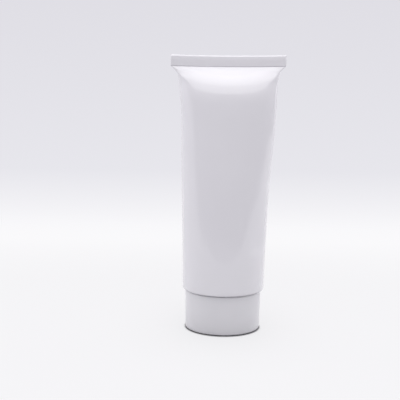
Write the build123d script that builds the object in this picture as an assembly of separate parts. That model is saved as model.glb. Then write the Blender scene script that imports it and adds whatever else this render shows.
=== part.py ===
from build123d import *
import os
from math import hypot, pi, sqrt

# White oval squeeze tube standing on its screw cap, in millimetres, +Z up, X across the seal.
# The origin is the middle of the cap's closed end, the face that the tube stands on.
overall_height = 156.8
overrun = 1.0                 # how far every cut runs past the face it opens

# Sleeve: a round extruded tube, pressed oval at the shoulder and flattened into the seal
sleeve_diameter = 40.0
sleeve_wall = 0.5
foot_half_width = 23.9
foot_round = 1.2
foot_lip = 3.2                # edge of the sleeve that turns in under the shoulder
seal_height = 5.8
seal_corner = 0.25
seal_bite = 0.3               # how far the two walls run on between each other inside the seal
closing_height = 22.5         # stretch under the seal in which front and back run together
closing_power = 2.8
closed_share = 0.5            # what is left of the seal's thickness where the walls end in it
gentle_share = 0.46           # part of the widening that is spread over the whole sleeve
gentle_power = 1.6
ear_soft = 1.4                # the ears under the seal's corners take the rest and turn out this softly
slope_step_share = 0.001
station_shares = (
    0.0, 0.08, 0.17, 0.28, 0.4, 0.52, 0.63, 0.73, 0.81, 0.87, 0.91, 0.94, 0.96, 0.975, 0.988, 1.0
)

# Head: oval shoulder, round neck and the hole that the contents leave by
shoulder_wall = 1.2
shoulder_drop = 2.4           # how far the shoulder falls from the sleeve's foot to the neck
neck_radius = 7.8
neck_wall = 1.6
neck_reach = 12.5             # from the sleeve's foot to the end of the neck
neck_edge = 0.5
mouth_radius = 4.0
mouth_edge = 0.4
weld_gap = 0.02               # between the shoulder's rim and the sleeve round it

# Screw thread, for the room it takes up between neck and skirt
thread_depth = 1.0
thread_clearance = 0.2

# Cap: oval outer shell round a stepped round skirt, in one moulding with a closed lower end
cap_height = 23.6
cap_half_width = 22.2         # at the open rim
cap_half_depth = 13.75
cap_draft = 0.26              # how much smaller the closed end is on each side
cap_wall = 1.2
cap_floor = 1.6
cap_round = 1.2
rim_round = 0.5
dish_depth = 0.4
dish_border = 4.0
dish_slope = 3.0
seat_gap = 0.8                # shadow line between the cap's rim and the sleeve's foot
skirt_wall = 1.2
skirt_gap = 0.5               # between the skirt's end and the shoulder
ledge_reach = 2.8             # ledge in the skirt that carries the sealing disc
skirt_mouth = 0.4
rib_wall = 1.0
rib_count = 6

# Sealing disc: the round wad that the end of the neck is pressed onto
disc_wall = 1.2
disc_clearance = 0.2

# Heights and radii that follow
foot_z = cap_height + seat_gap
seal_z = overall_height - seal_height
shell_top_z = seal_z + seal_bite
seal_thickness = 2 * sleeve_wall
seal_half_width = (pi * (sleeve_diameter - sleeve_wall) / 2 + sleeve_wall) / 2
neck_end_z = foot_z - neck_reach
neck_root_z = foot_z - shoulder_drop
ledge_z = neck_end_z - disc_wall
bore_radius = neck_radius + thread_depth + thread_clearance
core_radius = bore_radius - ledge_reach
slope_radius = cap_half_depth - cap_wall - seat_gap
skirt_top_z = neck_root_z - skirt_gap
floor_z = dish_depth + cap_floor


def oval(half_width, half_depth, z):
    return Pos(0, 0, z) * Ellipse(half_width, half_depth)


def spin(*outline):
    # Round solid from an outline of (radius, height) points
    return revolve(Plane.XZ * make_face(Polyline(*outline, close=True)), Axis.Z)


def girth_half_depth(half_width):
    # Half depth of the oval that has the round sleeve's girth, from a close formula for an ellipse's girth
    linear = 8 * half_width - 6 * sleeve_diameter
    constant = 6 * half_width**2 - 6 * sleeve_diameter * half_width + sleeve_diameter**2
    return (sqrt(linear**2 - 24 * constant) - linear) / 12


def outer_section(z):
    # The oval widens slowly, turns out at 45 degrees into the seal's corners and closes from front and back
    rise = (z - foot_z) / (shell_top_z - foot_z)
    widening = seal_half_width - seal_corner - foot_half_width
    gentle = widening * gentle_share * rise**gentle_power
    ear = widening * (1 - gentle_share)
    ear_run = z - shell_top_z + ear - ear_soft**2 / (4 * ear)
    flare = (ear_run + hypot(ear_run, ear_soft)) / 2
    closing = max(0, 1 - (shell_top_z - z) / closing_height) ** closing_power
    open_half_depth = girth_half_depth(foot_half_width + gentle)
    closed_half_depth = closed_share * seal_thickness / 2
    half_depth = open_half_depth + (closed_half_depth - open_half_depth) * closing
    return foot_half_width + gentle + flare, half_depth


def inner_section(z):
    # The wall keeps its thickness square to the surface, so it is wider across where that slopes
    step = slope_step_share * (shell_top_z - foot_z)
    here = outer_section(z)
    below = outer_section(z - step)
    return [size - sleeve_wall * hypot(step, size - low) / step for size, low in zip(here, below)]


def loft_sleeve(section, low_z, high_z):
    heights = [low_z + share * (high_z - low_z) for share in station_shares]
    return loft([oval(*section(z), z) for z in heights])


def make_sleeve():
    shell = loft_sleeve(outer_section, foot_z, shell_top_z)
    shell = fillet(shell.edges().group_by(Axis.Z)[0], foot_round)
    seal = Box(2 * seal_half_width, seal_thickness, seal_height)
    seal = fillet(seal.edges().filter_by(Axis.Z), seal_corner)
    hollow = loft_sleeve(inner_section, foot_z + sleeve_wall, seal_z - sleeve_wall)
    hollow = fillet(hollow.edges().group_by(Axis.Z)[0], foot_round - sleeve_wall)
    half_width, half_depth = outer_section(foot_z)
    mouth = oval(half_width - foot_lip, half_depth - foot_lip, foot_z - overrun)
    mouth = extrude(mouth, sleeve_wall + 2 * overrun)
    return shell + Pos(0, 0, seal_z + seal_height / 2) * seal - hollow - mouth


def make_head():
    # An oval plate welded on the sleeve's lip, with a round slope, so that the oval cap can turn round it
    half_width, half_depth = outer_section(foot_z)
    rim_oval = [size - foot_round - weld_gap for size in (half_width, half_depth)]
    plug_oval = [size - foot_lip - weld_gap for size in (half_width, half_depth)]
    plate_z = foot_z + sleeve_wall + shoulder_wall
    flange = extrude(oval(*rim_oval, foot_z + sleeve_wall), shoulder_wall)
    plug = extrude(oval(*plug_oval, foot_z), sleeve_wall)
    neck = spin(
        (0, neck_end_z),
        (neck_radius - neck_edge, neck_end_z),
        (neck_radius, neck_end_z + neck_edge),
        (neck_radius, neck_root_z),
        (slope_radius, foot_z),
        (0, foot_z),
    )
    way_out = spin(
        (0, neck_end_z - overrun),
        (mouth_radius + mouth_edge + overrun, neck_end_z - overrun),
        (mouth_radius, neck_end_z + mouth_edge),
        (mouth_radius, neck_end_z + shoulder_wall),
        (neck_radius - neck_wall, neck_end_z + shoulder_wall),
        (neck_radius - neck_wall, neck_root_z + shoulder_wall),
        (slope_radius, plate_z),
        (0, plate_z),
    )
    return flange + plug + neck - way_out


def make_skirt():
    root_z = floor_z - cap_floor / 2
    return spin(
        (core_radius, root_z),
        (core_radius, ledge_z),
        (bore_radius, ledge_z),
        (bore_radius, skirt_top_z - skirt_mouth),
        (bore_radius + skirt_mouth, skirt_top_z),
        (bore_radius + skirt_wall, skirt_top_z),
        (bore_radius + skirt_wall, ledge_z - skirt_wall),
        (core_radius + skirt_wall, ledge_z - skirt_wall),
        (core_radius + skirt_wall, root_z),
    )


def make_cap():
    open_end = cap_half_width, cap_half_depth
    closed_end = [size - cap_draft for size in open_end]
    shell = loft([oval(*closed_end, 0), oval(*open_end, cap_height)])
    shell = fillet(shell.edges().group_by(Axis.Z)[0], cap_round)
    shell = fillet(shell.edges().group_by(Axis.Z)[-1], rim_round)
    open_inside = [size - cap_wall for size in open_end]
    closed_inside = [size - cap_wall for size in closed_end]
    room = loft([oval(*closed_inside, floor_z), oval(*open_inside, cap_height)])
    dish_edge = [size - dish_border for size in closed_end]
    dish_flat = [size - dish_slope for size in dish_edge]
    dish = loft([oval(*dish_edge, 0), oval(*dish_flat, dish_depth)])

    rib_height = ledge_z - floor_z + cap_floor / 2
    ribs = Part()
    for place in PolarLocations(0, rib_count):
        rib = Box(cap_half_width, rib_wall, rib_height, align=(Align.MIN, Align.CENTER, Align.MIN))
        ribs += place * Pos(core_radius + skirt_wall / 2, 0, floor_z - cap_floor / 2) * rib
    ribs = ribs & shell
    return shell - room - dish + make_skirt() + ribs


def make_sealing_disc():
    return Pos(0, 0, ledge_z) * extrude(Circle(bore_radius - disc_clearance), disc_wall)


os.makedirs("parts", exist_ok=True)
nodes = {
    "sleeve": make_sleeve(),
    "head": make_head(),
    "cap": make_cap(),
    "sealing_disc": make_sealing_disc(),
}
for name, solid in nodes.items():
    export_step(solid, f"parts/{name}.step")
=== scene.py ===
import math

import bmesh
import bpy
from mathutils import Matrix, Vector, noise


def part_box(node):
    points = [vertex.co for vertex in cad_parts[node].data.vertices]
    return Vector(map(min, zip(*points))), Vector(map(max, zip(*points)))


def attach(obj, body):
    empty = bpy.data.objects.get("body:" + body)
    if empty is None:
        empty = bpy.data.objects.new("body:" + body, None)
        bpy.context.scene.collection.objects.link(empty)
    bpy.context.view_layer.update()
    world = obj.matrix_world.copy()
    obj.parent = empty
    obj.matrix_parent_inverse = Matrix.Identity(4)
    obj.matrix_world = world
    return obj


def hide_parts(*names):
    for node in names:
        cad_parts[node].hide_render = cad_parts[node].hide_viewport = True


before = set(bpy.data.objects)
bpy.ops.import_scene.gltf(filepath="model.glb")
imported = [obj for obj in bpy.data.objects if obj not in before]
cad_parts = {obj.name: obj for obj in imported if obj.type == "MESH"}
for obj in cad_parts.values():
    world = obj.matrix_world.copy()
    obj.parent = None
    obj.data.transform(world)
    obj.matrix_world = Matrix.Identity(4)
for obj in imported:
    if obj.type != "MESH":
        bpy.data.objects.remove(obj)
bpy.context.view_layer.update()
mm = 0.001


# a wire is a socket, and sums on wires add Math nodes to its tree
class Wire:
    def __init__(self, tree, socket=None):
        self.tree = tree
        self.socket = socket

    def node(self, kind, settings=None, sockets=None, output=0):
        made = self.tree.nodes.new(kind)
        for name, value in (settings or {}).items():
            if name == "stops":
                self.setStops(made.color_ramp.elements, value)
            else:
                setattr(made, name, value)
        for name, value in (sockets or {}).items():
            if isinstance(value, Wire):
                self.tree.links.new(value.socket, made.inputs[name])
            else:
                made.inputs[name].default_value = value
        return Wire(self.tree, made.outputs[output] if made.outputs else None)

    def outputs(self, *names):  # several outputs of the node that this wire comes from
        return [Wire(self.tree, self.socket.node.outputs[name]) for name in names]

    def setStops(self, elements, stops):
        while len(elements) < len(stops):
            elements.new(1.0)
        for element, (place, colour) in zip(elements, stops):
            element.position = place
            element.color = colour

    def maths(self, operation, *values):
        return self.node("ShaderNodeMath", {"operation": operation}, dict(enumerate(values)))

    def __add__(self, other):
        return self.maths("ADD", self, other)

    def __radd__(self, other):
        return self.maths("ADD", other, self)

    def __sub__(self, other):
        return self.maths("SUBTRACT", self, other)

    def __rsub__(self, other):
        return self.maths("SUBTRACT", other, self)

    def __mul__(self, other):
        return self.maths("MULTIPLY", self, other)

    def __rmul__(self, other):
        return self.maths("MULTIPLY", other, self)

    def smooth(self, low, high):  # 0 below low, 1 above high
        return self.node(
            "ShaderNodeMapRange",
            {"interpolation_type": "SMOOTHSTEP"},
            {"Value": self, "From Min": low, "From Max": high},
        )

    def mixed(self, low, high):  # low where this mask is 0, high where it is 1
        return self.node(  # the colours are sockets 6 and 7 and output 2
            "ShaderNodeMix",
            {"data_type": "RGBA"},
            {"Factor": self, 6: low, 7: high},
            output=2,
        )


def newMaterial(name):
    material = bpy.data.materials.new(name)
    material.use_nodes = True
    material.node_tree.nodes.clear()
    return material, Wire(material.node_tree)


# moulded or extruded plastic: clouded tone, uneven gloss and a fine skin
plastic = {
    "cloudDetail": 2.0,
    "cloudFrom": 0.3,  # the noise that counts as shade, and as full colour
    "cloudTo": 0.7,
    "cloudMiddle": 0.5,
    "grainDetail": 3.0,
}


def plasticFinish(name, look):
    material, wire = newMaterial(name)
    place = wire.node("ShaderNodeTexCoord", output="Object")
    stretched = wire.node("ShaderNodeMapping", sockets={"Vector": place, "Scale": look["grainStretch"]})
    cloud = wire.node("ShaderNodeTexNoise", sockets={
        "Vector": place,
        "Scale": look["cloudScale"],
        "Detail": plastic["cloudDetail"],
    })
    grain = wire.node("ShaderNodeTexNoise", sockets={
        "Vector": stretched,
        "Scale": look["grainScale"],
        "Detail": plastic["grainDetail"],
    })
    tone = cloud.smooth(plastic["cloudFrom"], plastic["cloudTo"]).mixed(look["shade"], look["colour"])
    bump = wire.node("ShaderNodeBump", sockets={
        "Height": grain,
        "Strength": look["grainStrength"],
        "Distance": look["grainDepth"],
    })
    shader = wire.node("ShaderNodeBsdfPrincipled", sockets={
        "Base Color": tone,
        "Roughness": look["roughness"] + (cloud - plastic["cloudMiddle"]) * look["glossSpread"],
        "IOR": look["ior"],
        "Coat Weight": look.get("lacquer", 0.0),
        "Normal": bump,
    })
    wire.node("ShaderNodeOutputMaterial", sockets={"Surface": shader})
    return material


# closed meshes from points and faces, with doubled points merged
meshing = {
    "merge": 1e-4 * mm,
    "sliver": 1e-5 * mm,
    "sharp": 35.0,  # degrees between faces from which their edge stays sharp
}


def skin(name, points, faces, body, material, sharp=meshing["sharp"]):
    mesh = bpy.data.meshes.new(name)
    mesh.from_pydata(points, [], faces)
    work = bmesh.new()
    work.from_mesh(mesh)
    bmesh.ops.remove_doubles(work, verts=work.verts, dist=meshing["merge"])
    bmesh.ops.dissolve_degenerate(work, edges=work.edges, dist=meshing["sliver"])
    bmesh.ops.recalc_face_normals(work, faces=work.faces)
    work.to_mesh(mesh)
    work.free()
    mesh.shade_smooth()
    mesh.set_sharp_from_angle(angle=math.radians(sharp))
    mesh.materials.append(material)
    piece = bpy.data.objects.new(name, mesh)
    bpy.context.scene.collection.objects.link(piece)
    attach(piece, body)
    return piece


def ringFaces(count, around, loop=False):
    faces = []
    for row in range(count if loop else count - 1):
        above = (row + 1) % count
        for i in range(around):
            j = (i + 1) % around
            faces.append((row * around + i, row * around + j, above * around + j, above * around + i))
    return faces


def ringSkin(name, rings, around, body, material, loop=False):
    # rings are (half width, half depth, height), one above or inside the next
    points = []
    for halfWidth, halfDepth, z in rings:
        for i in range(around):
            turn = 2 * math.pi * i / around
            points.append((halfWidth * math.cos(turn), halfDepth * math.sin(turn), z))
    return skin(name, points, ringFaces(len(rings), around, loop), body, material)


def circle(radius, z):  # a round ring
    return radius, radius, z


def arc(steps, start, end):  # angles in degrees to cosines and sines
    angles = [math.radians(start + (end - start) * k / steps) for k in range(steps + 1)]
    return [(math.cos(a), math.sin(a)) for a in angles]


def limited(share):  # kept between 0 and 1
    return min(max(share, 0), 1)


def eased(share):  # slow at both ends
    share = limited(share)
    return share * share * (3 - 2 * share)


# boxes of the solids that the pieces follow
sleeveLow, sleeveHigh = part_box("sleeve")
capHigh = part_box("cap")[1]
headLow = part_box("head")[0]
discLow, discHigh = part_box("sealing_disc")


# sleeve: round extrusion pressed oval, closed to a flat seal at the top
sleeve = {
    "around": 288,
    "sharp": 50.0,
    "bodyRows": 150,
    "rowCrowding": 1.7,  # rows lie closer together towards the seal
    "innerRows": 60,
    "innerEnd": 0.6 * mm,  # end of the hollow under the seal, and its last row
    "innerStep": 0.3 * mm,
    "roundDiameter": 40.0 * mm,  # before it was pressed oval
    "wall": 0.5 * mm,
    "footHalfWidth": 23.9 * mm,
    "footRound": 1.2 * mm,
    "footSteps": 6,
    "lip": 3.2 * mm,  # edge that turns in under the shoulder
    "sealHeight": 5.8 * mm,
    "sealHalf": 0.5 * mm,
    "sealRows": (0.12 * mm, 0.3 * mm),  # over the crease
    "sealBevel": 0.7 * mm,
    "bevelShares": ((0.06, 0.98), (0.12, 0.93), (1.0, 0.1)),  # of its height, of the seal's thickness
    "creaseHalf": 0.2 * mm,
    "closing": 22.5 * mm,  # stretch under the seal in which front and back run together
    "closingPower": 2.8,
    "gentle": 0.46,  # part of the widening that is spread over the whole sleeve, the ears take the rest
    "gentlePower": 1.6,
    "earSoft": 1.4 * mm,  # the ears turn out at 45 degrees, with this softness
    "foldSlope": 0.5,  # flat folds at the ears
    "foldEnds": (6 * mm, 18 * mm),  # they run out between these depths under the seal
    "foldSoft": 0.5 * mm,
    "foldEdge": 60,  # powers for how blunt their edges are, and how hard they meet the oval
    "foldMeet": 6,
    "sag": 0.45 * mm,  # the seal hangs a little in its middle
    "tilt": 0.35 * mm,  # and is cut a little out of square
    "bow": 0.9 * mm,
    "bowHeight": 122 * mm,
    "bowSpread": 22 * mm,
    "wave": 0.10 * mm,
    "waveLength": 34 * mm,
    "waveSqueeze": 1.6,  # waves are shorter across than along
    "waveFront": 3.7,  # places in the noise
    "waveBack": 9.1,
    "calmFoot": 18 * mm,  # marks fade this close to the foot and to the seal
    "calmSeal": 16 * mm,
    "calmRise": 0.5,  # and at the sides, from this part of the oval's depth
    "dents": [  # x, z, reach to the sides, up and down, depth, all on the front
        (19 * mm, 52 * mm, 5 * mm, 9 * mm, 3 * mm, 0.6 * mm),
        (18 * mm, 64 * mm, 6 * mm, 12 * mm, 12 * mm, 0.3 * mm),
        (0.5 * mm, 54 * mm, 8 * mm, 20 * mm, 8 * mm, 0.4 * mm),
    ],
    "finish": {
        "colour": (0.86, 0.85, 0.88, 1.0),
        "shade": (0.85, 0.84, 0.87, 1.0),
        "cloudScale": 35.0,
        "grainStretch": (1.0, 1.0, 0.08),
        "grainScale": 900.0,
        "grainStrength": 0.05,
        "grainDepth": 0.01 * mm,
        "roughness": 0.03,
        "glossSpread": 0.02,
        "ior": 1.52,
        "lacquer": 0.9,
    },
}
footZ = sleeveLow.z
topZ = sleeveHigh.z
sealZ = topZ - sleeve["sealHeight"]
sealHalfWidth = sleeveHigh.x


def girthHalfDepth(halfWidth):  # half depth of the oval with the round sleeve's girth
    diameter = sleeve["roundDiameter"]
    linear = 8 * halfWidth - 6 * diameter
    constant = 6 * halfWidth**2 - 6 * diameter * halfWidth + diameter**2
    return (math.sqrt(linear**2 - 24 * constant) - linear) / 12


def earReach(z, full):  # how far the ears stand out at a height
    soft = sleeve["earSoft"]
    run = z - sealZ + full - soft**2 / (4 * full)
    return (run + math.hypot(run, soft)) / 2


def sleeveOval(z):
    rise = limited((z - footZ) / (sealZ - footZ))
    widening = sealHalfWidth - sleeve["footHalfWidth"]
    gentle = widening * sleeve["gentle"] * rise ** sleeve["gentlePower"]
    flare = earReach(z, widening * (1 - sleeve["gentle"]))
    closing = limited(1 - (sealZ - z) / sleeve["closing"])
    openDepth = girthHalfDepth(sleeve["footHalfWidth"] + gentle)
    halfDepth = openDepth + (sleeve["creaseHalf"] - openDepth) * closing ** sleeve["closingPower"]
    return sleeve["footHalfWidth"] + gentle + flare, halfDepth


def handMarks(x, z, front):  # shallow waves and dents of a squeezed sleeve
    calm = limited((z - footZ) / sleeve["calmFoot"]) * limited((sealZ - z) / sleeve["calmSeal"])
    length = sleeve["waveLength"]
    layer = sleeve["waveFront"] if front else sleeve["waveBack"]
    move = sleeve["wave"] * noise.noise(Vector((x / length * sleeve["waveSqueeze"], layer, z / length)))
    if front:
        for dentX, dentZ, reachX, reachUp, reachDown, depth in sleeve["dents"]:
            reachZ = reachUp if z > dentZ else reachDown
            move -= depth * math.exp(-((x - dentX) / reachX) ** 2 - ((z - dentZ) / reachZ) ** 2)
    return move * calm


def roundEnds(share, halfWidth):  # section of the seal: a flat bar with half-round ends
    past = 1 - (1 - abs(share)) * halfWidth / sleeve["sealHalf"]
    return math.sqrt(max(0, 1 - max(0, past) ** 2))


def earFold(x, z, share):  # half thickness of the flat fold at an ear
    down, inward = sealZ - z, sealHalfWidth - abs(x)
    nearer = max(0, (down + inward - math.hypot(down - inward, sleeve["foldSoft"])) / 2)
    low, high = sleeve["foldEnds"]
    left = 1 - eased((down - low) / (high - low))
    blunt = math.sqrt(max(0, 1 - share ** sleeve["foldEdge"]))
    return (sleeve["creaseHalf"] + sleeve["foldSlope"] * nearer) * left * blunt


def sleeveRing(z, inset=0.0, shape=None, bar=False):
    # every row has its points at the same shares of the width, so the rows line up
    halfWidth, halfDepth = shape or sleeveOval(z)
    bow = sleeve["bow"] * math.exp(-((z - sleeve["bowHeight"]) / sleeve["bowSpread"]) ** 2)
    hang = limited((z - sealZ + sleeve["closing"]) / sleeve["closing"]) ** 2
    points = []
    for i in range(sleeve["around"]):
        turn = 2 * math.pi * i / sleeve["around"]
        share = math.cos(turn)
        rise = roundEnds(share, halfWidth) if bar else math.sqrt(max(0, 1 - share**2))
        front = math.sin(turn) < 0
        x = (halfWidth - inset) * share
        mark = handMarks(halfWidth * share, z, front) * limited(rise / sleeve["calmRise"])
        depth = (halfDepth - inset) * rise
        if not inset and not shape:
            meet = sleeve["foldMeet"]
            depth = (depth**meet + earFold(x, z, share) ** meet) ** (1 / meet)
        y = (depth + mark) * (-1 if front else 1)
        drop = sleeve["sag"] * (1 - share**2) + sleeve["tilt"] * (1 - share) / 2
        points.append((x + bow, y, z - drop * hang))
    return points


def makeSleeve():
    look = sleeve
    foot = look["footHalfWidth"], girthHalfDepth(look["footHalfWidth"])
    rows = []
    innerTop = sealZ - look["innerEnd"]
    innerHigh = innerTop - look["innerStep"]
    innerFoot = footZ + look["wall"]
    rows.append(sleeveRing(innerTop, shape=(sleeveOval(innerTop)[0] - 2 * look["wall"], 0)))
    for k in range(look["innerRows"] + 1):  # down the inside
        z = innerHigh - (innerHigh - innerFoot) * k / look["innerRows"]
        rows.append(sleeveRing(z, inset=look["wall"]))
    lipOval = foot[0] - look["lip"], foot[1] - look["lip"]
    rows.append(sleeveRing(innerFoot, shape=lipOval))
    rows.append(sleeveRing(footZ, shape=lipOval))
    for across, down in arc(look["footSteps"], 90, 0):  # round the foot's edge
        inset = look["footRound"] * (1 - across)
        z = footZ + look["footRound"] * (1 - down)
        rows.append(sleeveRing(z, shape=(foot[0] - inset, foot[1] - inset)))
    low = footZ + look["footRound"]
    for k in range(1, look["bodyRows"] + 1):  # up the outside
        share = 1 - (1 - k / look["bodyRows"]) ** look["rowCrowding"]
        rows.append(sleeveRing(low + (sealZ - low) * share))
    straight = topZ - look["sealBevel"]
    for z in (*(sealZ + up for up in look["sealRows"]), (sealZ + straight) / 2, straight):
        rows.append(sleeveRing(z, shape=(sealHalfWidth, look["sealHalf"]), bar=True))
    for up, across in look["bevelShares"]:  # cut edge
        thinner = sealHalfWidth, look["sealHalf"] * across
        rows.append(sleeveRing(straight + look["sealBevel"] * up, shape=thinner, bar=True))
    rows.append(sleeveRing(topZ, shape=(sealHalfWidth, 0)))
    points = [point for row in rows for point in row]
    faces = ringFaces(len(rows), look["around"])
    material = plasticFinish("sleeve_polyethylene", look["finish"])
    piece = skin("sleeve_skin", points, faces, "tube", material, look["sharp"])
    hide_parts("sleeve")
    print("sleeve", len(piece.data.polygons), "faces")


makeSleeve()


# cap: oval shell with a rounded closed end, a dished foot and a threaded skirt inside
cap = {
    "around": 192,
    "draft": 0.26 * mm,
    "wall": 1.2 * mm,
    "floor": 2.0 * mm,
    "wallRows": 12,
    "round": 1.2 * mm,
    "roundSteps": 10,
    "rimRound": 0.5 * mm,
    "rimSteps": 4,
    "dish": 0.4 * mm,
    "dishBorder": 4.0 * mm,
    "dishSlope": 3.0 * mm,
    "dishRows": 8,
    "skirtWall": 1.2 * mm,
    "boreRadius": 9.0 * mm,
    "coreRadius": 6.2 * mm,
    "skirtTop": 21.5 * mm,
    "corner": 0.6 * mm,  # round the floor inside
    "fillet": 0.4 * mm,  # at the skirt's root
    "skirtEdge": 0.2 * mm,
    "skirtMouth": 0.4 * mm,
    "finish": {
        "colour": (0.86, 0.855, 0.875, 1.0),
        "shade": (0.845, 0.84, 0.86, 1.0),
        "cloudScale": 60.0,
        "grainStretch": (1.0, 1.0, 1.0),
        "grainScale": 2600.0,
        "grainStrength": 0.25,
        "grainDepth": 0.015 * mm,
        "roughness": 0.36,
        "glossSpread": 0.05,
        "ior": 1.49,
    },
}


def makeCap():
    look = cap
    openOval = capHigh.x, capHigh.y
    closedOval = [size - look["draft"] for size in openOval]
    top = capHigh.z
    ledge = discLow.z
    rings = []

    def oval(size, inset, z):
        rings.append((size[0] - inset, size[1] - inset, z))

    border = [size - look["dishBorder"] for size in closedOval]
    flat = [size - look["dishSlope"] for size in border]
    rings.append((0, 0, look["dish"]))
    rings.append((flat[0] / 2, flat[1] / 2, look["dish"]))
    for k in range(look["dishRows"] + 1):  # the dish runs out softly into the border
        share = k / look["dishRows"]
        oval(flat, -look["dishSlope"] * share, look["dish"] * (1 - eased(share)))
    for across, down in arc(look["roundSteps"], 90, 0):  # rounded closed end
        oval(closedOval, look["round"] * (1 - across), look["round"] * (1 - down))
    for k in range(1, look["wallRows"] + 1):  # outer wall with its draft
        share = k / look["wallRows"]
        z = look["round"] + (top - look["rimRound"] - look["round"]) * share
        oval(closedOval, -look["draft"] * z / top, z)
    rim = look["rimRound"]
    for across, up in arc(look["rimSteps"], 0, 90):  # over the rim and into the cap
        oval(openOval, rim * (1 - across), top - rim * (1 - up))
    for across, up in arc(look["rimSteps"], 90, 0):
        oval(openOval, look["wall"] - rim * (1 - across), top - rim * (1 - up))
    floor, skirtTop, fillet = look["floor"], look["skirtTop"], look["fillet"]
    oval(closedOval, look["wall"], floor + look["corner"])
    oval(closedOval, look["wall"] + look["corner"], floor)
    core, bore = look["coreRadius"], look["boreRadius"]
    coreOut, boreOut = core + look["skirtWall"], bore + look["skirtWall"]
    rings += [  # up the skirt's outside, over its top and down to the floor inside
        circle(coreOut + fillet, floor),
        circle(coreOut, floor + fillet),
        circle(coreOut, ledge - look["skirtWall"]),
        circle(boreOut, ledge - look["skirtWall"]),
        circle(boreOut, skirtTop - look["skirtEdge"]),
        circle(boreOut - look["skirtEdge"], skirtTop),
        circle(bore + look["skirtMouth"], skirtTop),
        circle(bore, skirtTop - look["skirtMouth"]),
        circle(bore, ledge),
        circle(core, ledge),
        circle(core, floor + fillet),
        circle(core - fillet, floor),
        circle(0, floor),
    ]
    material = plasticFinish("cap_polypropylene", look["finish"])
    piece = ringSkin("cap_shell", rings, look["around"], "cap", material)
    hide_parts("cap")
    print("cap", len(piece.data.polygons), "faces")
    return material


capMaterial = makeCap()


# head: oval plate in the sleeve's foot, round slope and neck with its mouth
head = {
    "around": 160,
    "plate": 1.2 * mm,
    "rimInset": 1.22 * mm,
    "lipInset": 3.22 * mm,
    "slopeRadius": 11.75 * mm,
    "slopeDrop": 2.4 * mm,
    "neckRadius": 7.8 * mm,
    "boreRadius": 6.2 * mm,
    "mouthRadius": 4.0 * mm,
    "mouthEdge": 0.4 * mm,
    "plateEdge": 0.3 * mm,
    "neckEdge": 0.5 * mm,
    "rootRound": 0.6 * mm,
    "rootAngle": 60,
    "rootSteps": 5,
    "rootLift": 0.3 * mm,
    "finish": {
        "colour": (0.80, 0.80, 0.81, 1.0),
        "shade": (0.785, 0.785, 0.80, 1.0),
        "cloudScale": 80.0,
        "grainStretch": (1.0, 1.0, 1.0),
        "grainScale": 2200.0,
        "grainStrength": 0.2,
        "grainDepth": 0.015 * mm,
        "roughness": 0.33,
        "glossSpread": 0.05,
        "ior": 1.5,
    },
}


def makeHead():
    look = head
    foot = sleeve["footHalfWidth"], girthHalfDepth(sleeve["footHalfWidth"])
    rim = [size - look["rimInset"] for size in foot]
    plug = [size - look["lipInset"] for size in foot]
    plateLow = footZ + sleeve["wall"]
    plateHigh = plateLow + look["plate"]
    end = headLow.z
    rootZ = footZ - look["slopeDrop"]
    mouth, bore, neck = look["mouthRadius"], look["boreRadius"], look["neckRadius"]
    edge, root = look["plateEdge"], look["rootRound"]
    rings = [  # up the bore, out over the plate and back down outside
        circle(mouth + look["mouthEdge"], end),
        circle(mouth, end + look["mouthEdge"]),
        circle(mouth, end + look["plate"]),
        circle(bore, end + look["plate"]),
        circle(bore, rootZ + look["plate"]),
        circle(look["slopeRadius"], plateHigh),
        (rim[0] - edge, rim[1] - edge, plateHigh),
        (*rim, plateHigh - edge),
        (*rim, plateLow),
        (*plug, plateLow),
        (*plug, footZ),
        circle(look["slopeRadius"], footZ),
    ]
    for out, up in arc(look["rootSteps"], look["rootAngle"], 0):  # hollow round the neck's root
        rings.append(circle(neck + root * (1 - out), rootZ - root * (1 - up) + look["rootLift"]))
    rings += [
        circle(neck, end + look["neckEdge"]),
        circle(neck - look["neckEdge"], end),
    ]
    material = plasticFinish("head_polyethylene", look["finish"])
    piece = ringSkin("head_moulding", rings, look["around"], "tube", material, loop=True)
    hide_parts("head")
    print("head", len(piece.data.polygons), "faces")
    return material


headMaterial = makeHead()


# right-hand thread: a ridge on the neck and one in the skirt, half a pitch apart
thread = {
    "pitch": 3.0 * mm,
    "turns": 2.2,
    "stepsPerTurn": 72,
    "baseHalf": 0.85 * mm,
    "crestHalf": 0.35 * mm,
    "sunk": 0.15 * mm,  # into the wall that carries it
    "runOutShare": 0.12,  # of the ridge's length, where it fades at each end
    "thinShare": 0.02,  # of its height, at the very ends
    "sharp": 30.0,
    "neckCrest": 8.75 * mm,
    "skirtCrest": 8.05 * mm,
    "neckLow": 13.9 * mm,
    "skirtLow": 13.4 * mm,
    "neckTurn": 0.0,
    "skirtTurn": 2 * math.pi / 3,
}


def makeThread(name, wallRadius, crestRadius, low, turnAtLow, body, material):
    look = thread
    steps = int(look["turns"] * look["stepsPerTurn"])
    outward = 1 if crestRadius > wallRadius else -1
    corners = 4
    points = []
    for k in range(steps + 1):
        share = k / steps
        fade = min(1, share / look["runOutShare"], (1 - share) / look["runOutShare"])
        fade = math.sqrt(max(fade, look["thinShare"]))
        turn = turnAtLow + 2 * math.pi * look["turns"] * share
        z = low + look["pitch"] * look["turns"] * share
        root = wallRadius - outward * look["sunk"]
        crest = wallRadius + (crestRadius - wallRadius) * fade
        profile = [
            (root, -look["baseHalf"]),
            (crest, -look["crestHalf"]),
            (crest, look["crestHalf"]),
            (root, look["baseHalf"]),
        ]
        for radius, up in profile:
            points.append((radius * math.cos(turn), radius * math.sin(turn), z + up))
    faces = ringFaces(steps + 1, corners)
    faces.append(tuple(range(corners)))
    faces.append(tuple(corners * steps + i for i in range(corners)))
    skin(name, points, faces, body, material, look["sharp"])


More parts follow.
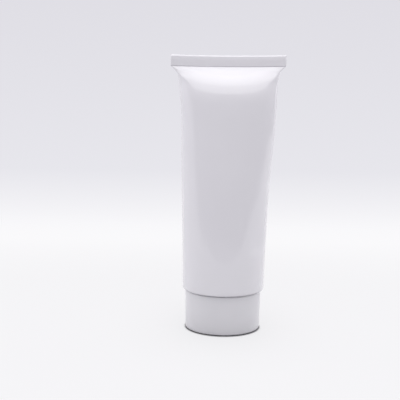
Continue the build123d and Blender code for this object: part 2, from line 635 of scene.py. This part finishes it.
makeThread(
    "neck_thread", head["neckRadius"], thread["neckCrest"], thread["neckLow"], thread["neckTurn"],
    "tube", headMaterial,
)
makeThread(
    "skirt_thread", cap["boreRadius"], thread["skirtCrest"], thread["skirtLow"], thread["skirtTurn"],
    "cap", capMaterial,
)
print("thread cut on neck and skirt")


# ribs that tie the skirt to the cap's shell
ribs = {
    "count": 6,
    "half": 0.5 * mm,
    "sunk": 0.5 * mm,  # into the cap's floor
    "sharp": 30.0,
}


def makeRibs():
    points, faces = [], []
    inner = cap["coreRadius"] + cap["skirtWall"] / 2
    low, high = cap["floor"] - ribs["sunk"], discLow.z
    insideOval = [size - cap["wall"] / 2 - cap["draft"] for size in (capHigh.x, capHigh.y)]
    boxFaces = [(0, 1, 3, 2), (4, 6, 7, 5), (0, 4, 5, 1), (2, 3, 7, 6), (0, 2, 6, 4), (1, 5, 7, 3)]
    for k in range(ribs["count"]):
        turn = 2 * math.pi * k / ribs["count"]
        along = Vector((math.cos(turn), math.sin(turn), 0))
        side = Vector((-along.y, along.x, 0)) * ribs["half"]
        outer = 1 / math.hypot(along.x / insideOval[0], along.y / insideOval[1])
        first = len(points)
        for z in (low, high):
            for reach in (inner, outer):
                for edge in (-1, 1):
                    points.append(tuple(along * reach + side * edge + Vector((0, 0, z))))
        faces += [tuple(first + i for i in quad) for quad in boxFaces]
    skin("cap_ribs", points, faces, "cap", capMaterial, ribs["sharp"])


makeRibs()
print("ribs in the cap")


# sealing disc: foam wad on the skirt's ledge
disc = {
    "around": 128,
    "edge": 0.2 * mm,
    "edgeSteps": 4,
    "finish": {
        "colour": (0.74, 0.74, 0.75, 1.0),
        "shade": (0.70, 0.70, 0.71, 1.0),
        "cloudScale": 500.0,
        "grainStretch": (1.0, 1.0, 1.0),
        "grainScale": 1800.0,
        "grainStrength": 0.6,
        "grainDepth": 0.05 * mm,
        "roughness": 0.7,
        "glossSpread": 0.1,
        "ior": 1.45,
    },
}


def makeDisc():
    radius, edge, steps = discHigh.x, disc["edge"], disc["edgeSteps"]
    rings = [circle(0, discLow.z)]
    for out, down in arc(steps, 90, 0):
        rings.append(circle(radius - edge * (1 - out), discLow.z + edge * (1 - down)))
    for out, up in arc(steps, 0, 90):
        rings.append(circle(radius - edge * (1 - out), discHigh.z - edge * (1 - up)))
    rings.append(circle(0, discHigh.z))
    material = plasticFinish("disc_foam", disc["finish"])
    piece = ringSkin("sealing_wad", rings, disc["around"], "sealing_disc", material)
    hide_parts("sealing_disc")
    print("sealing disc", len(piece.data.polygons), "faces")


makeDisc()


# pale floor that sweeps up into a backdrop
stage = {
    "halfWidth": 1.6,
    "front": -1.2,
    "tableEdge": -0.20,  # the front stretch stays out of the reflections
    "sweepStart": 0.30,
    "sweepRadius": 0.55,
    "sweepSteps": 24,
    "wallTop": 1.4,
    "colour": (0.5, 0.5, 0.51, 1.0),
    "drop": 0.02 * mm,  # the floor lies this far under the object
    "shadeSamples": 8,
    "contact": 1.8 * mm,  # reach of the contact shadow painted into the paper's colour under the cap
    "contactOpen": (0.4, 0.95),  # how open the floor is where the painted shadow is darkest, and where it ends
    # colour of the painted contact shadow
    "paintedContactShadow": (0.12, 0.115, 0.125, 1.0),
    "shade": 45 * mm,  # reach of the soft shade painted into the paper's colour round it
    "shadeOpen": (0.5, 1.0),
    "shadeColour": (0.15, 0.15, 0.155, 1.0),
    "keepNear": 0.84,  # part of the near floor's tone that doesn't take the shadow
    "keepAll": (0.06, 0.26),  # it grows to all of it between these distances back
    "tones": [  # from the near floor, back and up the sweep
        (0.0, (0.985, 0.98, 1.0, 1.0)),
        (0.22, (0.975, 0.97, 0.985, 1.0)),
        (0.48, (0.80, 0.795, 0.84, 1.0)),
        (1.0, (0.745, 0.735, 0.785, 1.0)),
    ],
    "tonesFrom": -0.10,
    "tonesTo": 1.20,
}


def stageSheet(name, profile, material):
    mesh = bpy.data.meshes.new(name)
    half = stage["halfWidth"]
    points = [(x, y, z) for y, z in profile for x in (-half, half)]
    faces = [(2 * k, 2 * k + 1, 2 * k + 3, 2 * k + 2) for k in range(len(profile) - 1)]
    mesh.from_pydata(points, [], faces)
    mesh.shade_smooth()
    mesh.materials.append(material)
    sheet = bpy.data.objects.new(name, mesh)
    bpy.context.scene.collection.objects.link(sheet)
    return sheet


def openFloor(wire, reach, limits):  # 0 where something stands close by, 1 on the open floor
    openness = wire.node(
        "ShaderNodeAmbientOcclusion",
        {"samples": stage["shadeSamples"]},
        {"Distance": reach},
        output="AO",
    )
    return openness.smooth(*limits)


def studioPaper():
    material, wire = newMaterial("studio_paper")
    # clear is 0 under the cap, where the paper's colour takes painted contact shadow and its glow is cut
    clear = openFloor(wire, stage["contact"], stage["contactOpen"])
    paintedShade = openFloor(wire, stage["shade"], stage["shadeOpen"]).mixed(stage["shadeColour"], stage["colour"])
    # the paper's colour holds painted shade: a dark contact line under the cap and a soft darkening round
    # it
    paper = wire.node("ShaderNodeBsdfPrincipled", sockets={
        "Base Color": clear.mixed(stage["paintedContactShadow"], paintedShade),
        "Roughness": 1.0,
        "Specular IOR Level": 0.0,
    })
    place = wire.node("ShaderNodeNewGeometry", output="Position")
    depth, height = wire.node("ShaderNodeSeparateXYZ", sockets={"Vector": place}).outputs("Y", "Z")
    back = depth + height
    along = (back - stage["tonesFrom"]) * (1 / (stage["tonesTo"] - stage["tonesFrom"]))
    tone = wire.node("ShaderNodeValToRGB", {"stops": stage["tones"]}, {"Fac": along})
    glow = wire.node("ShaderNodeEmission", sockets={"Color": tone, "Strength": 1.0})
    rays = wire.node("ShaderNodeLightPath")
    straight, glossy, through = rays.outputs("Is Camera Ray", "Is Glossy Ray", "Is Transmission Ray")
    far = back.smooth(*stage["keepAll"])
    keep = stage["keepNear"] + far * (1 - stage["keepNear"])
    share = (straight + glossy + through) * keep * clear
    sheet = wire.node("ShaderNodeMixShader", sockets={0: share, 1: paper, 2: glow})
    wire.node("ShaderNodeOutputMaterial", sockets={"Surface": sheet})
    return material


def makeStage():
    paper = studioPaper()
    under = -stage["drop"]
    start, radius = stage["sweepStart"], stage["sweepRadius"]
    curve = arc(stage["sweepSteps"], -90, 0)[1:]
    sweep = [(stage["tableEdge"], under), (start, under)]
    sweep += [(start + radius * out, radius * (1 + up) + under) for out, up in curve]
    sweep.append((start + radius, stage["wallTop"]))
    stageSheet("studio_sweep", sweep, paper)
    apron = stageSheet("studio_apron", [(stage["front"], under), (stage["tableEdge"], under)], paper)
    apron.visible_glossy = False
    print("stage set")


makeStage()


# light tent: pale ceiling and sides, darker towards the camera, with soft lamps over and beside the object
studio = {
    "left": (0.95, 0.931, 0.988, 1.0),
    "right": (2.6, 2.55, 2.7, 1.0),
    "belowLeft": (0.87, 0.853, 0.905, 1.0),
    "belowRight": (0.54, 0.529, 0.562, 1.0),
    "front": (0.43, 0.421, 0.455, 1.0),
    "hood": (1.28, 1.265, 1.3, 1.0),  # pale ceiling
    "hoodLow": 0.49,  # sine of the angle of its lower edge over eye level
    "hoodSoft": 0.015,
    "eyeSoft": 0.04,  # from the sides to what is below them
    "middleSoft": 20.0,  # from left to right, in degrees
    "seen": (0.74, 0.735, 0.78, 1.0),  # what the camera sees past the backdrop
    "leftEdge": -57.0,  # degrees from the way to the camera, at eye level
    "leftSlant": -30.0,  # more degrees for each unit of height
    "rightEdge": 112.0,
    "rightSlant": 320.0,  # only below eye level
    "edgeSoft": 2.0,
    "lamps": [  # place, way it points, width, length, power
        ((0, -0.13, 0.50), (0, 0, -1), 1.2, 0.24, 0.57),
        ((0, 0.09, 0.50), (0, 0, -1), 1.2, 0.20, 0.09),
    ],
    "edgeLamps": [  # beside and behind, for the edges of the object
        ((-0.52, 0.30, 0.10), (0.86, -0.5, 0), 0.4, 0.3, 0.65),
        ((0.52, 0.30, 0.10), (-0.86, -0.5, 0), 0.4, 0.3, 1.0),
    ],
}


def makeLamp(name, place, way, width, length, power):
    lamp = bpy.data.lights.new(name, "AREA")
    lamp.shape = "RECTANGLE"
    lamp.size, lamp.size_y = width, length
    lamp.energy = power
    box = bpy.data.objects.new(name, lamp)
    aim = Vector(way).to_track_quat("-Z", "Y").to_matrix().to_4x4()
    box.matrix_world = Matrix.Translation(place) @ aim
    bpy.context.scene.collection.objects.link(box)
    return box


def makeStudio():
    world = bpy.data.worlds.new("light_tent")
    bpy.context.scene.world = world
    world.use_nodes = True
    world.node_tree.nodes.clear()
    wire = Wire(world.node_tree)
    way = wire.node("ShaderNodeTexCoord", output="Generated")
    across, away, up = wire.node("ShaderNodeSeparateXYZ", sockets={"Vector": way}).outputs("X", "Y", "Z")
    turn = wire.maths("ARCTAN2", across, 0 - away) * math.degrees(1)
    soft, middle, eye = studio["edgeSoft"], studio["middleSoft"], studio["eyeSoft"]
    fromLeft = turn - (studio["leftEdge"] + up * studio["leftSlant"])
    fromRight = turn - (studio["rightEdge"] + wire.maths("MINIMUM", up, 0.0) * studio["rightSlant"])
    pastLeft = fromLeft.smooth(-soft, soft)
    shortOfRight = 1 - fromRight.smooth(-soft, soft)
    rightSide = turn.smooth(-middle, middle)
    sides = rightSide.mixed(studio["left"], studio["right"])
    below = rightSide.mixed(studio["belowLeft"], studio["belowRight"])
    panels = up.smooth(-eye, eye).mixed(below, sides)
    walls = (pastLeft * shortOfRight).mixed(panels, studio["front"])
    low, high = studio["hoodLow"] - studio["hoodSoft"], studio["hoodLow"] + studio["hoodSoft"]
    tent = up.smooth(low, high).mixed(walls, studio["hood"])
    straight = wire.node("ShaderNodeLightPath", output="Is Camera Ray")
    shown = straight.mixed(tent, studio["seen"])
    light = wire.node("ShaderNodeBackground", sockets={"Color": shown, "Strength": 1.0})
    wire.node("ShaderNodeOutputWorld", sockets={"Surface": light})
    for lamp in studio["lamps"]:
        makeLamp("top_softbox", *lamp)
    for lamp in studio["edgeLamps"]:
        makeLamp("edge_softbox", *lamp).visible_glossy = False
    print("studio lit")


makeStudio()


# camera where the photograph was taken from
camera = {
    "place": (-14.25 * mm, -257.37 * mm, 125.37 * mm),
    "pitch": 10.68,  # degrees down
    "roll": 0.764,
    "focalPixels": 458.9,
    "framePixels": 400,
    "sensor": 36.0,
    "clip": (0.01, 20.0),
}


def makeCamera():
    lens = bpy.data.cameras.new("camera")
    lens.sensor_width = camera["sensor"]
    lens.lens = camera["sensor"] * camera["focalPixels"] / camera["framePixels"]
    lens.clip_start, lens.clip_end = camera["clip"]
    holder = bpy.data.objects.new("camera", lens)
    tilt = Matrix.Rotation(math.radians(90 - camera["pitch"]), 4, "X")
    roll = Matrix.Rotation(math.radians(camera["roll"]), 4, "Z")
    holder.matrix_world = Matrix.Translation(camera["place"]) @ tilt @ roll
    bpy.context.scene.collection.objects.link(holder)
    bpy.context.scene.camera = holder
    bpy.context.scene.view_settings.view_transform = "Standard"
    print("camera placed")


makeCamera()
